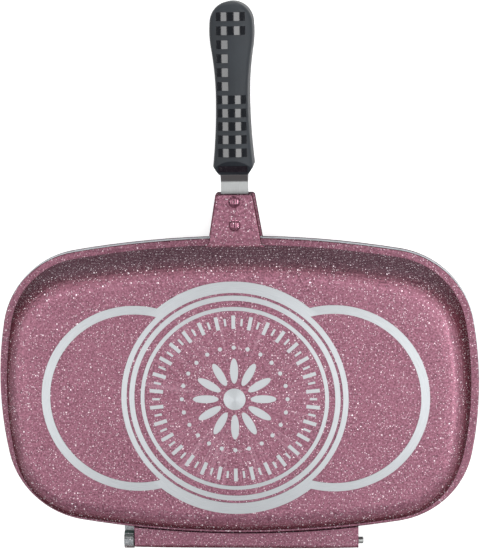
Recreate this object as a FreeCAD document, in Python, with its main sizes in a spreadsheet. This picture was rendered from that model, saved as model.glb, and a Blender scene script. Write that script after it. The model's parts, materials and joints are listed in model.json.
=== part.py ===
"""Double sided flip pan: two die-cast halves hinged along one long side.

The pan lies closed, shallow half down. X runs along the hinge, +Y points from the hinge
to the handles and +Z is up. The origin is the middle of the shallow half's base, on the
surface that the pan stands on. Every half, with what is fastened to it, is drawn with its
parting face at z = 0 and its base upwards, and is then placed.
"""
import FreeCAD, Part
import math
import os
import Sketcher
from FreeCAD import Placement, Rotation, Vector

os.makedirs("parts", exist_ok=True)
doc = FreeCAD.newDocument("FlipPan")
sheet = doc.addObject("Spreadsheet::Sheet", "Sizes")

# Driving dimensions in millimetres, angles in degrees
DRIVING_SIZES = (
    # Outline of the rim, a rectangle of four shallow arcs with round corners
    ("half_length", 200.8),
    ("half_width", 127.2),
    ("long_side_radius", 822.0),
    ("short_side_radius", 310.0),
    ("corner_radius", 73.5),
    # Die-cast halves
    ("deep_depth", 47.5),
    ("shallow_depth", 27.0),
    ("parting_half_gap", 0.3),
    ("flange_width", 5.5),
    ("flange_thickness", 4.6),
    ("rim_round", 1.0),
    ("shallow_rim_lip", 0.7),
    ("wall", 3.0),
    ("base_thickness", 4.0),
    ("draft_angle", 10.0),
    ("deep_base_round", 20.0),
    ("shallow_base_round", 14.0),
    ("deep_wall_forward", 0.8),
    # Raised rings that stand on the stove
    ("ring_height", 0.5),
    ("ring_forward", 1.7),
    ("medallion_radius", 9.0),
    ("thin_ring_inner", 73.5),
    ("thin_ring_outer", 76.6),
    ("middle_ring_inner", 81.7),
    ("middle_ring_outer", 85.9),
    ("outer_ring_inner", 88.1),
    ("outer_ring_waist", 92.4),
    ("outer_ring_outer", 97.3),
    ("side_ring_centre", 80.2),
    ("side_ring_inner", 70.7),
    ("side_ring_outer", 77.7),
    # Grill ribs inside the shallow half
    ("rib_height", 1.6),
    ("rib_foot", 3.6),
    ("rib_crest", 1.6),
    ("rib_pitch", 12.0),
    ("rib_field_half_length", 144.0),
    ("rib_length", 158.0),
    # Silicone seal and its groove in the shallow half
    ("seal_inset", 3.7),
    ("seal_width", 2.8),
    ("seal_depth", 2.15),
    ("seal_stand_out", 0.3),
    ("seal_clearance", 0.1),
    ("seal_round", 1.1),
    # Lug that carries the handle
    ("lug_end", 163.8),
    ("lug_tip_half_width", 14.6),
    ("lug_root_half_width", 22.0),
    ("lug_height", 9.2),
    ("lug_corner_round", 2.5),
    ("lug_edge_round", 1.0),
    ("lug_foot_round", 6.5),
    ("lug_saddle_round", 4.5),
    ("shallow_lug_extra", 1.4),
    # Steel tang between lug and grip
    ("tang_width", 22.2),
    ("tang_thickness", 2.5),
    ("tang_start", 129.2),
    ("tang_bend_start", 174.0),
    ("tang_bend_end", 180.2),
    ("tang_rise", 4.6),
    ("tang_end", 238.0),
    ("tang_above_parting", 0.5),
    ("tang_bend_round", 3.0),
    ("tang_clearance", 0.05),
    # Rivets through lug and tang
    ("rivet_radius", 2.5),
    ("rivet_head_radius", 5.0),
    ("rivet_head_height", 2.4),
    ("rivet_tail_radius", 3.9),
    ("rivet_sink_angle", 45.0),
    ("rivet_far", 157.8),
    ("rivet_near", 138.4),
    ("rivet_clearance", 0.05),
    # Bakelite grip, half of the closed handle
    ("grip_start", 180.7),
    ("grip_mouth_half_width", 11.7),
    ("grip_foot", 187.5),
    ("grip_foot_half_width", 16.4),
    ("grip_foot_round", 4.0),
    ("grip_waist", 243.0),
    ("grip_waist_half_width", 13.0),
    ("grip_widest", 296.0),
    ("grip_half_width", 17.5),
    ("grip_side_radius", 80.0),
    ("grip_end", 319.8),
    ("grip_above_parting", 0.5),
    ("grip_crown_height", 22.5),
    ("grip_crown_radius", 28.0),
    ("grip_mouth_height", 13.5),
    ("grip_slope_length", 12.0),
    ("grip_edge_round", 5.0),
    # Raised polished pads across the grip
    ("pad_relief", 0.35),
    ("pad_root", 0.6),
    ("pad_length", 6.8),
    ("pad_pitch", 11.0),
    ("pad_half_width", 11.6),
    ("short_pad_inset", 2.4),
    ("first_pad", 307.7),
    ("plain_pad_pitch", 10.66),
    ("mouth_pad_start", 3.2),
    ("mouth_pad_length", 6.6),
    # Screw that holds the tang in the grip, and the magnet near its end
    ("screw_place", 214.0),
    ("screw_radius", 2.0),
    ("screw_head_radius", 4.0),
    ("screw_head_height", 2.4),
    ("screw_recess", 0.2),
    ("screw_length", 12.5),
    ("screw_clearance", 0.05),
    ("head_clearance", 0.3),
    ("drive_width", 1.0),
    ("drive_length", 4.6),
    ("drive_depth", 1.4),
    ("magnet_place", 300.0),
    ("magnet_radius", 6.0),
    ("magnet_thickness", 3.0),
    ("magnet_clearance", 0.1),
    # Hinge: pin, barrel on the deep half, two ears on the shallow half
    ("axis_from_rim", 7.0),
    ("pin_radius", 3.0),
    ("pin_left", -98.6),
    ("pin_right", 105.0),
    ("pin_chamfer", 0.6),
    ("pin_running_clearance", 0.08),
    ("pin_seat_clearance", 0.02),
    ("barrel_left", -90.2),
    ("barrel_right", 100.7),
    ("barrel_radius", 7.3),
    ("barrel_bow_radius", 2140.0),
    ("barrel_flat", 6.8),
    ("barrel_turning_radius", 6.3),
    ("barrel_wall", 2.2),
    ("pocket_length", 13.0),
    ("pocket_pitch", 17.0),
    ("left_pockets_end", -37.0),
    ("right_pockets_start", 39.0),
    ("opening_angle", 105.0),
    ("stop_pad_half_length", 30.0),
    ("stop_pad_stand_out", 0.3),
    ("stop_clearance", 0.05),
    ("outer_ear_left", -99.3),
    ("outer_ear_right", -91.3),
    ("outer_ear_radius", 7.6),
    ("ear_groove_radius", 0.7),
    ("first_groove_angle", 38.0),
    ("second_groove_angle", 66.0),
    ("inner_ear_left", 80.5),
    ("inner_ear_right", 88.8),
    ("inner_ear_radius", 4.8),
    ("ear_side_clearance", 0.5),
    ("ear_turning_clearance", 0.3),
    ("ear_overlap", 6.0),
    # How far a cut runs past its solid, and how near to a level an edge counts as on it
    ("overrun", 5.0),
    ("edge_slack", 0.01),
)
RIB_COPIES = 25
LONG_PAD_COPIES = 2
SHORT_PAD_COPIES = 4
PLAIN_PAD_COPIES = 5
POCKET_COPIES = 3
LUG_ROOT_SHARE = 0.75
SADDLE_ROOT_SHARE = 0.25
RIGHT_ANGLE = 90.0
HALF_TURN = 180.0

for row, (alias, number) in enumerate(DRIVING_SIZES, start=1):
    sheet.set("A%d" % row, alias.replace("_", " "))
    sheet.set("B%d" % row, str(number))
    sheet.setAlias("B%d" % row, alias)
doc.recompute()


class Size:
    """A length with its number and the sheet expression that it comes from."""

    def __init__(self, number, text):
        self.number = float(number)
        self.text = text

    def __add__(self, other):
        return Size(self.number + other.number, "(%s + %s)" % (self.text, other.text))

    def __sub__(self, other):
        return Size(self.number - other.number, "(%s - %s)" % (self.text, other.text))

    def __mul__(self, factor):
        return Size(self.number * factor, "(%s * %.9g)" % (self.text, factor))

    def __truediv__(self, divisor):
        return Size(self.number / divisor, "(%s / %.9g)" % (self.text, divisor))

    def __neg__(self):
        return Size(-self.number, "(-%s)" % self.text)


class SheetSizes:
    """Every alias of the sheet as a Size, such as size.wall."""

    def __getattr__(self, alias):
        return Size(sheet.get(alias), "Sizes.%s" % alias)


size = SheetSizes()
ZERO = Size(0.0, "0")


def product(one, other):
    """The two sizes multiplied, and divided by a millimetre."""
    return Size(one.number * other.number, "(%s * %s)" % (one.text, other.text))


def ratio(one, other):
    return Size(one.number / other.number, "(%s / %s)" % (one.text, other.text))


def leg(hypotenuse, other_leg):
    """The second leg of a right triangle."""
    number = math.sqrt(hypotenuse.number ** 2 - other_leg.number ** 2)
    return Size(number, "sqrt(%s ^ 2 - %s ^ 2)" % (hypotenuse.text, other_leg.text))


def hypotenuse(one, other):
    number = math.hypot(one.number, other.number)
    return Size(number, "sqrt(%s ^ 2 + %s ^ 2)" % (one.text, other.text))


def cosine(angle):
    return Size(math.cos(math.radians(angle.number)), "cos(%s * 1 deg)" % angle.text)


def sine(angle):
    return Size(math.sin(math.radians(angle.number)), "sin(%s * 1 deg)" % angle.text)


def tangent(angle):
    return Size(math.tan(math.radians(angle.number)), "tan(%s * 1 deg)" % angle.text)


def bind(feature, name, length):
    """Set a property and tie it to the sheet."""
    setattr(feature, name, length.number)
    feature.setExpression(name, length.text)


def new_body(name):
    body = doc.addObject("PartDesign::Body", name)
    body.Label = name
    return body


def new_sketch(body, name, role="XY_Plane", offset=ZERO, forward=ZERO):
    """A sketch on one of the body's own origin planes, or parallel to it.

    On the XY plane, forward moves the sketch towards the handles.
    """
    sketch = body.newObject("Sketcher::SketchObject", name)
    plane = [f for f in body.Origin.OriginFeatures if f.Role == role][0]
    sketch.AttachmentSupport = [(plane, "")]
    sketch.MapMode = "FlatFace"
    sketch.AttachmentOffset = Placement(Vector(0, forward.number, offset.number), Rotation())
    sketch.setExpression("AttachmentOffset.Base.y", forward.text)
    sketch.setExpression("AttachmentOffset.Base.z", offset.text)
    return sketch


def dimension(sketch, kind, places, length):
    """A driving constraint tied to the sheet."""
    index = sketch.addConstraint(Sketcher.Constraint(kind, *places, length.number))
    sketch.setExpression("Constraints[%d]" % index, length.text)


def pin_point(sketch, geometry, point, across, along):
    """Fix one point of the sketch by its two coordinates."""
    dimension(sketch, "DistanceX", (-1, 1, geometry, point), across)
    dimension(sketch, "DistanceY", (-1, 1, geometry, point), along)


def add_circle(sketch, across, along, radius):
    centre = Vector(across.number, along.number, 0)
    circle = sketch.addGeometry(Part.Circle(centre, Vector(0, 0, 1), radius.number))
    pin_point(sketch, circle, 3, across, along)
    dimension(sketch, "Radius", (circle,), radius)


def add_profile(sketch, corners):
    """A closed outline of lines and arcs.

    A corner is (across, along) where a line starts, or (across, along, radius, turn)
    where an arc under a half circle starts, turning left for 1 and right for -1.
    """
    first = sketch.GeometryCount
    for place, corner in enumerate(corners):
        following = corners[(place + 1) % len(corners)]
        start = Vector(corner[0].number, corner[1].number, 0)
        end = Vector(following[0].number, following[1].number, 0)
        if len(corner) == 2:
            sketch.addGeometry(Part.LineSegment(start, end))
            continue
        radius, turn = corner[2], corner[3]
        half = (end - start) * 0.5
        reach = math.sqrt(radius.number ** 2 - half.Length ** 2)
        side = Vector(-half.y, half.x, 0).normalize() * (reach * turn)
        centre = start + half + side
        circle = Part.Circle(centre, Vector(0, 0, 1), radius.number)
        angles = [math.atan2(p.y - centre.y, p.x - centre.x) for p in (start, end)]
        if turn < 0:
            angles.reverse()
        sketch.addGeometry(Part.ArcOfCircle(circle, angles[0], angles[1]))
    count = len(corners)
    ends = []
    for place, corner in enumerate(corners):
        backwards = len(corner) == 4 and corner[3] < 0
        ends.append((2, 1) if backwards else (1, 2))
    for place, corner in enumerate(corners):
        before = (place - 1) % count
        joint = (first + before, ends[before][1], first + place, ends[place][0])
        sketch.addConstraint(Sketcher.Constraint("Coincident", *joint))
        pin_point(sketch, first + place, ends[place][0], corner[0], corner[1])
        if len(corner) == 4:
            dimension(sketch, "Radius", (first + place,), corner[2])


def add_rectangle(sketch, left, right, bottom, top):
    add_profile(sketch, [(left, bottom), (right, bottom), (right, top), (left, top)])


def corner_centre():
    """Centre of the rim's corner arc, from the two side arcs that it touches."""
    long_side = size.long_side_radius.number - size.corner_radius.number
    short_side = size.short_side_radius.number - size.corner_radius.number
    across = size.half_length.number - size.short_side_radius.number
    along = size.half_width.number - size.long_side_radius.number
    gap = math.hypot(across, along)
    share = (long_side ** 2 - short_side ** 2 + gap ** 2) / (gap + gap)
    height = math.sqrt(long_side ** 2 - share ** 2)
    direction = Vector(across / gap, -along / gap, 0)
    foot = Vector(0, along, 0) + direction * share
    normal = Vector(-direction.y, direction.x, 0)
    spots = (foot + normal * height, foot - normal * height)
    return [spot for spot in spots if spot.x > 0 and spot.y > 0][0]


def add_rim_outline(sketch, inset):
    """The pan's outline, moved inwards by the inset: eight arcs that run smoothly on."""
    long_radius = size.long_side_radius - inset
    short_radius = size.short_side_radius - inset
    round_radius = size.corner_radius - inset
    long_centre = size.long_side_radius - size.half_width
    short_centre = size.short_side_radius - size.half_length
    corner = corner_centre()
    high = math.atan2(corner.y + long_centre.number, corner.x)
    low = math.atan2(corner.y, corner.x + short_centre.number)
    quarter = math.radians(RIGHT_ANGLE)
    first = sketch.GeometryCount
    arcs = []
    for turn in range(4):
        start = turn * quarter
        flip_x = 1 if turn in (0, 3) else -1
        flip_y = 1 if turn in (0, 1) else -1
        round_centre = Vector(corner.x * flip_x, corner.y * flip_y, 0)
        narrow, wide = (low, high) if turn in (0, 2) else (quarter - high, quarter - low)
        arcs.append((round_centre, round_radius, start + narrow, start + wide))
        upright = turn in (0, 2)
        side = 1 if turn in (0, 3) else -1
        if upright:
            side_centre = Vector(0, -long_centre.number * side, 0)
            side_radius = long_radius
            spread = quarter - high
        else:
            side_centre = Vector(-short_centre.number * side, 0, 0)
            side_radius = short_radius
            spread = low
        middle = start + quarter
        arcs.append((side_centre, side_radius, middle - spread, middle + spread))
    for centre, radius, start, end in arcs:
        circle = Part.Circle(centre, Vector(0, 0, 1), radius.number)
        sketch.addGeometry(Part.ArcOfCircle(circle, start, end))
    for place in range(len(arcs)):
        following = (place + 1) % len(arcs)
        joint = (first + place, 2, first + following, 1)
        sketch.addConstraint(Sketcher.Constraint("Tangent", *joint))
    for place in (2, 4, 6):
        sketch.addConstraint(Sketcher.Constraint("Equal", first, first + place))
    dimension(sketch, "Radius", (first,), round_radius)
    for place, vertical, radius, centre in (
        (1, True, long_radius, -long_centre),
        (3, False, short_radius, short_centre),
        (5, True, long_radius, long_centre),
        (7, False, short_radius, -short_centre),
    ):
        dimension(sketch, "Radius", (first + place,), radius)
        axis = -2 if vertical else -1
        on_axis = Sketcher.Constraint("PointOnObject", first + place, 3, axis)
        sketch.addConstraint(on_axis)
        kind = "DistanceY" if vertical else "DistanceX"
        dimension(sketch, kind, (-1, 1, first + place, 3), centre)


def extrude(body, sketch, kind, length, taper=ZERO, both_ways=False, backwards=False):
    """Pad or pocket a sketch, and stop if a pocket missed the solid."""
    before = body.Tip
    feature = body.newObject("PartDesign::" + kind, sketch.Name + "_" + kind.lower())
    feature.Profile = sketch
    bind(feature, "Length", length)
    bind(feature, "TaperAngle", taper)
    feature.Reversed = backwards
    feature.SideType = "Symmetric" if both_ways else "One side"
    doc.recompute()
    if kind == "Pocket" and feature.Shape.Volume >= before.Shape.Volume:
        raise RuntimeError(sketch.Name + " cuts nothing")
    return feature


def repeat(body, feature, axis_role, pitch, copies, backwards=False):
    """Copies of a feature in a row along one of the body's axes."""
    pattern = body.newObject("PartDesign::LinearPattern", feature.Name + "_row")
    pattern.Originals = [feature]
    axis = [f for f in body.Origin.OriginFeatures if f.Role == axis_role][0]
    pattern.Direction = (axis, [""])
    pattern.Mode = "Extent"
    bind(pattern, "Length", pitch * (copies - 1))
    pattern.Occurrences = copies
    pattern.Reversed = backwards
    body.Tip = pattern
    doc.recompute()
    return pattern


def edges_where(feature, wanted):
    """Names of the feature's edges whose bounding box passes the test."""
    names = []
    for number, edge in enumerate(feature.Shape.Edges, start=1):
        if wanted(edge.BoundBox):
            names.append("Edge%d" % number)
    return names


def edges_at(feature, level):
    """Names of the edges that lie flat at one height."""
    slack = size.edge_slack.number
    return edges_where(
        feature,
        lambda box: abs(box.ZMin - level.number) < slack
        and abs(box.ZMax - level.number) < slack,
    )


def round_edges(body, feature, name, edges, radius):
    fillet = body.newObject("PartDesign::Fillet", name)
    fillet.Base = (feature, edges)
    bind(fillet, "Radius", radius)
    doc.recompute()
    return fillet


def pan_shell(body, prefix, depth, base_round, lip, forward):
    """Rim flange, drafted wall, base and cavity of one half."""
    flange = new_sketch(body, prefix + "rim", offset=size.parting_half_gap)
    add_rim_outline(flange, -lip)
    feature = extrude(body, flange, "Pad", size.flange_thickness)
    top = size.parting_half_gap + size.flange_thickness
    feature = round_edges(body, feature, prefix + "rim_round", edges_at(feature, top), size.rim_round)

    wall = new_sketch(body, prefix + "wall", offset=size.parting_half_gap, forward=forward)
    add_rim_outline(wall, size.flange_width)
    height = depth - size.ring_height - size.parting_half_gap
    extrude(body, wall, "Pad", height, taper=-size.draft_angle)

    cavity = new_sketch(body, prefix + "cavity", offset=size.parting_half_gap, forward=forward)
    add_rim_outline(cavity, size.flange_width + size.wall)
    inner_depth = height - size.base_thickness
    feature = extrude(
        body, cavity, "Pocket", inner_depth, taper=-size.draft_angle, backwards=True
    )
    floor = depth - size.ring_height - size.base_thickness
    floor_edges = edges_at(feature, floor)
    inner_round = base_round - size.wall
    feature = round_edges(body, feature, prefix + "floor_round", floor_edges, inner_round)
    base_edges = edges_at(feature, depth - size.ring_height)
    return round_edges(body, feature, prefix + "base_round", base_edges, base_round)


def base_rings(body, prefix, depth):
    """Raised rings: three round the middle, and one at each side that they cut."""
    root = depth - size.ring_height * 2

    def ring_sketch(name, offset):
        return new_sketch(body, prefix + name, offset=offset, forward=size.ring_forward)

    centre_ring = ring_sketch("crescents", root)
    add_circle(centre_ring, ZERO, ZERO, size.outer_ring_inner)
    add_circle(centre_ring, ZERO, ZERO, size.outer_ring_outer)
    extrude(body, centre_ring, "Pad", depth - root)
    for name, place in (("left_", -size.side_ring_centre), ("right_", size.side_ring_centre)):
        ring = ring_sketch(name + "ring", root)
        add_circle(ring, place, ZERO, size.side_ring_inner)
        add_circle(ring, place, ZERO, size.side_ring_outer)
        extrude(body, ring, "Pad", depth - root)
        inside = ring_sketch(name + "ring_inside", depth)
        add_circle(inside, place, ZERO, size.side_ring_inner)
        extrude(body, inside, "Pocket", size.ring_height)
    inside = ring_sketch("middle_inside", depth)
    add_circle(inside, ZERO, ZERO, size.outer_ring_waist)
    extrude(body, inside, "Pocket", size.ring_height)
    middle = ring_sketch("middle_rings", root)
    add_circle(middle, ZERO, ZERO, size.outer_ring_waist)
    for radius in (
        size.outer_ring_inner,
        size.middle_ring_outer,
        size.middle_ring_inner,
        size.thin_ring_outer,
        size.thin_ring_inner,
        size.medallion_radius,
    ):
        add_circle(middle, ZERO, ZERO, radius)
    return extrude(body, middle, "Pad", depth - root)


def handle_lug(body, prefix, extra, forward):
    """Tapered lug that runs smoothly into the wall, with a tang recess and rivet holes."""
    tip = size.lug_tip_half_width + extra
    root = size.lug_root_half_width + extra
    start = size.half_width + forward - size.flange_width - size.wall * LUG_ROOT_SHARE
    run, rise = root - tip, size.lug_end - start
    side = hypotenuse(run, rise)
    reach = product(size.lug_foot_round, ratio(rise, side + run))
    foot = (root + reach, start)
    shoulder = (root - product(reach, ratio(run, side)), start + product(reach, ratio(rise, side)))
    outline = new_sketch(body, prefix + "lug", offset=size.parting_half_gap)
    add_profile(
        outline,
        [
            (*foot, size.lug_foot_round, -1),
            shoulder,
            (tip, size.lug_end),
            (-tip, size.lug_end),
            (-shoulder[0], shoulder[1], size.lug_foot_round, -1),
            (-foot[0], foot[1]),
        ],
    )
    feature = extrude(body, outline, "Pad", size.lug_height)
    top = size.parting_half_gap + size.lug_height
    slack = size.edge_slack.number
    corners = edges_where(
        feature,
        lambda box: box.YMin > size.lug_end.number - slack and box.XMax - box.XMin < slack,
    )
    feature = round_edges(body, feature, prefix + "lug_corners", corners, size.lug_corner_round)
    rim = edges_where(
        feature,
        lambda box: box.ZMin > top.number - slack
        and box.ZMax < top.number + slack
        and box.YMax > size.half_width.number,
    )
    round_edges(body, feature, prefix + "lug_rim", rim, size.lug_edge_round)

    saddle = new_sketch(body, prefix + "lug_saddle", "YZ_Plane")
    behind = start - size.wall * SADDLE_ROOT_SHARE
    add_profile(
        saddle,
        [
            (behind, top - size.lug_edge_round),
            (behind + size.lug_saddle_round, top - size.lug_edge_round),
            (behind + size.lug_saddle_round, top, size.lug_saddle_round, -1),
            (behind, top + size.lug_saddle_round),
        ],
    )
    extrude(body, saddle, "Pad", (root - size.lug_edge_round) * 2, both_ways=True)

    recess = new_sketch(body, prefix + "tang_recess", offset=size.parting_half_gap)
    half = size.tang_width / 2 + size.tang_clearance
    near = size.tang_start - size.tang_clearance
    add_rectangle(recess, -half, half, near, size.lug_end + size.overrun)
    deep = size.tang_above_parting + size.tang_thickness + size.tang_clearance
    extrude(body, recess, "Pocket", deep - size.parting_half_gap, backwards=True)

    holes = new_sketch(body, prefix + "rivet_holes")
    for place in (size.rivet_near, size.rivet_far):
        add_circle(holes, ZERO, place, size.rivet_radius + size.rivet_clearance)
    return extrude(body, holes, "Pocket", top + size.overrun, backwards=True)


def hinge_axis():
    """Distance of the pin's axis from the middle of the pan, along -Y."""
    return size.half_width + size.shallow_rim_lip + size.axis_from_rim


def hinge_barrel(body):
    """Barrel on the deep half: flat above, with a heel that stops the opening."""
    axis = -hinge_axis()
    left, right = size.barrel_left, size.barrel_right
    web_top = size.parting_half_gap + size.flange_thickness - size.rim_round
    web = new_sketch(body, "barrel_web", offset=size.parting_half_gap)
    inside = size.flange_width + size.wall * LUG_ROOT_SHARE - size.half_width
    add_rectangle(web, left, right, axis, inside)
    extrude(body, web, "Pad", web_top - size.parting_half_gap)

    plate = new_sketch(body, "barrel_plate", offset=size.parting_half_gap)
    centre = size.long_side_radius - size.half_width
    left_end = centre - leg(size.long_side_radius, left)
    right_end = centre - leg(size.long_side_radius, right)
    add_profile(
        plate,
        [
            (left, axis),
            (right, axis),
            (right, right_end, size.long_side_radius, -1),
            (left, left_end),
        ],
    )
    extrude(body, plate, "Pad", size.barrel_flat - size.parting_half_gap)

    # Barrel section, seen along the axis: flat top, round back, heel, turning side
    stop_reach = size.axis_from_rim - size.stop_pad_stand_out - size.stop_clearance
    angle = size.opening_angle
    along_y, along_z = cosine(angle), sine(angle)
    foot_y = axis + product(stop_reach, along_y)
    foot_z = -product(stop_reach, along_z)
    chord = leg(size.barrel_radius, stop_reach)
    tip_y = foot_y - product(chord, along_z)
    tip_z = foot_z - product(chord, along_y)
    turning = size.barrel_turning_radius
    section = new_sketch(body, "barrel_section", "YZ_Plane", left)
    flat_y = axis - leg(size.barrel_radius, size.barrel_flat)
    add_profile(
        section,
        [
            (axis + turning, size.barrel_flat),
            (flat_y, size.barrel_flat, size.barrel_radius, 1),
            (tip_y, tip_z),
            (foot_y, foot_z),
            (axis + product(turning, along_y), -product(turning, along_z), turning, 1),
            (axis + turning, ZERO),
        ],
    )
    extrude(body, section, "Pad", right - left)

    # The barrel's back is bowed like the rim, but less
    back = axis - size.barrel_radius
    far = back - size.overrun
    bow = new_sketch(body, "barrel_bow")
    add_profile(
        bow,
        [
            (left, far),
            (right, far),
            (right, back + size.barrel_bow_radius - leg(size.barrel_bow_radius, right),
             size.barrel_bow_radius, -1),
            (left, back + size.barrel_bow_radius - leg(size.barrel_bow_radius, left)),
        ],
    )
    extrude(body, bow, "Pocket", (size.barrel_radius + size.overrun) * 2, both_ways=True)
    bore = new_sketch(body, "barrel_bore", "YZ_Plane", left - size.overrun)
    add_circle(bore, axis, ZERO, size.pin_radius + size.pin_running_clearance)
    extrude(body, bore, "Pocket", right - left + size.overrun * 2, backwards=True)

    # Window that takes the inner ear of the shallow half, open to the back
    window_left = size.inner_ear_left - size.ear_side_clearance
    window_right = size.inner_ear_right + size.ear_side_clearance
    swing = size.inner_ear_radius + size.ear_turning_clearance
    window = new_sketch(body, "ear_window", "YZ_Plane", window_left)
    low = -size.barrel_radius - size.overrun
    front = axis + size.axis_from_rim + size.overrun
    add_profile(
        window,
        [
            (far, low),
            (front, low),
            (front, ZERO),
            (axis + swing, ZERO, swing, 1),
            (axis, swing, swing, 1),
            (axis - swing, ZERO),
            (far, ZERO),
        ],
    )
    extrude(body, window, "Pocket", window_right - window_left, backwards=True)

    # Coring pockets under the barrel, with ribs between them that carry the pin
    ceiling = size.barrel_flat - size.barrel_wall
    reach = size.barrel_turning_radius - size.barrel_wall
    for name, start in (
        ("left_pocket", size.left_pockets_end - size.pocket_length),
        ("right_pocket", size.right_pockets_start),
    ):
        pocket = new_sketch(body, name, "YZ_Plane", start)
        add_rectangle(pocket, axis - reach, axis + reach, low, ceiling)
        cut = extrude(body, pocket, "Pocket", size.pocket_length, backwards=True)
        copies = POCKET_COPIES if name == "left_pocket" else POCKET_COPIES - 1
        feature = repeat(
            body, cut, "X_Axis", size.pocket_pitch, copies, backwards=name == "left_pocket"
        )
    return feature


def hinge_ears(body):
    """Two ears on the shallow half: one outside the barrel, one in its window.

    The half is drawn with its base upwards and is turned over about Y when it is
    placed, so that an ear at +X in the pan is drawn at -X.
    """
    axis = -hinge_axis()
    inside = size.flange_width + size.wall * LUG_ROOT_SHARE - size.half_width
    near = size.parting_half_gap
    far = size.parting_half_gap + size.flange_thickness
    for name, left, right, radius in (
        ("outer_ear", size.outer_ear_left, size.outer_ear_right, size.outer_ear_radius),
        ("inner_ear", size.inner_ear_left, size.inner_ear_right, size.inner_ear_radius),
    ):
        ear = new_sketch(body, name, "YZ_Plane", -right)
        top_y = axis + leg(radius, near)
        bow = size.long_side_radius - leg(size.long_side_radius, right)
        root = size.ear_overlap + bow - size.half_width
        add_profile(
            ear,
            [
                (axis, radius, radius, 1),
                (axis - radius, ZERO, radius, 1),
                (axis, -radius, radius, 1),
                (top_y, near),
                (root, near),
                (root, far),
            ],
        )
        extrude(body, ear, "Pad", right - left)

    grooves = new_sketch(body, "ear_grooves", "YZ_Plane", -size.outer_ear_right)
    for angle in (size.first_groove_angle, size.second_groove_angle):
        across = axis + product(size.outer_ear_radius, cosine(angle))
        along = product(size.outer_ear_radius, sine(angle))
        add_circle(grooves, across, -along, size.ear_groove_radius)
    length = size.outer_ear_right - size.outer_ear_left
    extrude(body, grooves, "Pocket", length, backwards=True)

    for name, left, right in (
        ("outer_ear_bore", size.outer_ear_left, size.outer_ear_right),
        ("inner_ear_bore", size.inner_ear_left, size.inner_ear_right),
    ):
        radius = size.pin_radius + size.pin_seat_clearance
        bore = new_sketch(body, name, "YZ_Plane", -right)
        add_circle(bore, axis, ZERO, radius)
        extrude(body, bore, "Pocket", right - left, backwards=True)

    pad = new_sketch(body, "stop_pad", offset=size.parting_half_gap)
    half = size.stop_pad_half_length
    face = -size.half_width - size.shallow_rim_lip - size.stop_pad_stand_out
    add_rectangle(pad, -half, half, face, inside)
    return extrude(body, pad, "Pad", size.flange_thickness)


def grill_ribs(body):
    """Parallel ribs across the shallow half's floor."""
    floor = size.shallow_depth - size.ring_height - size.base_thickness
    sunk = floor + size.wall / 2
    foot, crest = size.rib_foot / 2, size.rib_crest / 2
    rib = new_sketch(body, "grill_rib", "XZ_Plane")
    start = -size.rib_field_half_length
    top = floor - size.rib_height
    add_profile(
        rib,
        [
            (start - crest, top),
            (start + crest, top),
            (start + foot, floor),
            (start + foot, sunk),
            (start - foot, sunk),
            (start - foot, floor),
        ],
    )
    pad = extrude(body, rib, "Pad", size.rib_length, both_ways=True)
    return repeat(body, pad, "X_Axis", size.rib_pitch, RIB_COPIES)


def seal_groove(body):
    inset = size.seal_inset - size.seal_clearance
    groove = new_sketch(body, "seal_groove", offset=size.parting_half_gap)
    add_rim_outline(groove, inset)
    add_rim_outline(groove, inset + size.seal_width + size.seal_clearance * 2)
    return extrude(body, groove, "Pocket", size.seal_depth + size.seal_clearance, backwards=True)


def seal():
    """Silicone ring, seated in the shallow half's groove and proud of its rim."""
    body = new_body("seal")
    start = size.parting_half_gap - size.seal_stand_out
    section = new_sketch(body, "seal_outline", offset=start)
    add_rim_outline(section, size.seal_inset)
    add_rim_outline(section, size.seal_inset + size.seal_width)
    feature = extrude(body, section, "Pad", size.seal_stand_out + size.seal_depth)
    round_edges(body, feature, "seal_bead", edges_at(feature, start), size.seal_round)
    return body


def tang(prefix):
    """Steel strip: flat in the lug, then stepped up into the middle of the grip."""
    body = new_body(prefix + "_tang")
    low = size.tang_above_parting
    high = low + size.tang_rise
    thick = size.tang_thickness
    profile = new_sketch(body, prefix + "_tang_profile", "YZ_Plane")
    add_profile(
        profile,
        [
            (size.tang_start, low),
            (size.tang_bend_start, low),
            (size.tang_bend_end, high),
            (size.tang_end, high),
            (size.tang_end, high + thick),
            (size.tang_bend_end, high + thick),
            (size.tang_bend_start, low + thick),
            (size.tang_start, low + thick),
        ],
    )
    strip = extrude(body, profile, "Pad", size.tang_width, both_ways=True)
    slack = size.edge_slack.number
    bends = edges_where(
        strip,
        lambda box: box.XMax - box.XMin > size.tang_width.number / 2
        and size.tang_start.number + slack < box.YMin
        and box.YMax < size.tang_end.number - slack,
    )
    round_edges(body, strip, prefix + "_tang_bends", bends, size.tang_bend_round)

    holes = new_sketch(body, prefix + "_tang_holes")
    for place in (size.rivet_near, size.rivet_far):
        add_circle(holes, ZERO, place, size.rivet_radius + size.rivet_clearance)
    add_circle(holes, ZERO, size.screw_place, size.screw_radius + size.rivet_clearance)
    extrude(body, holes, "Pocket", high + thick + size.overrun, backwards=True)

    sinks = new_sketch(body, prefix + "_tang_sinks", offset=low)
    for place in (size.rivet_near, size.rivet_far):
        add_circle(sinks, ZERO, place, size.rivet_tail_radius + size.rivet_clearance)
    depth = ratio(size.rivet_tail_radius - size.rivet_radius, tangent(size.rivet_sink_angle))
    extrude(body, sinks, "Pocket", depth, taper=-size.rivet_sink_angle, backwards=True)
    return body


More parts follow.
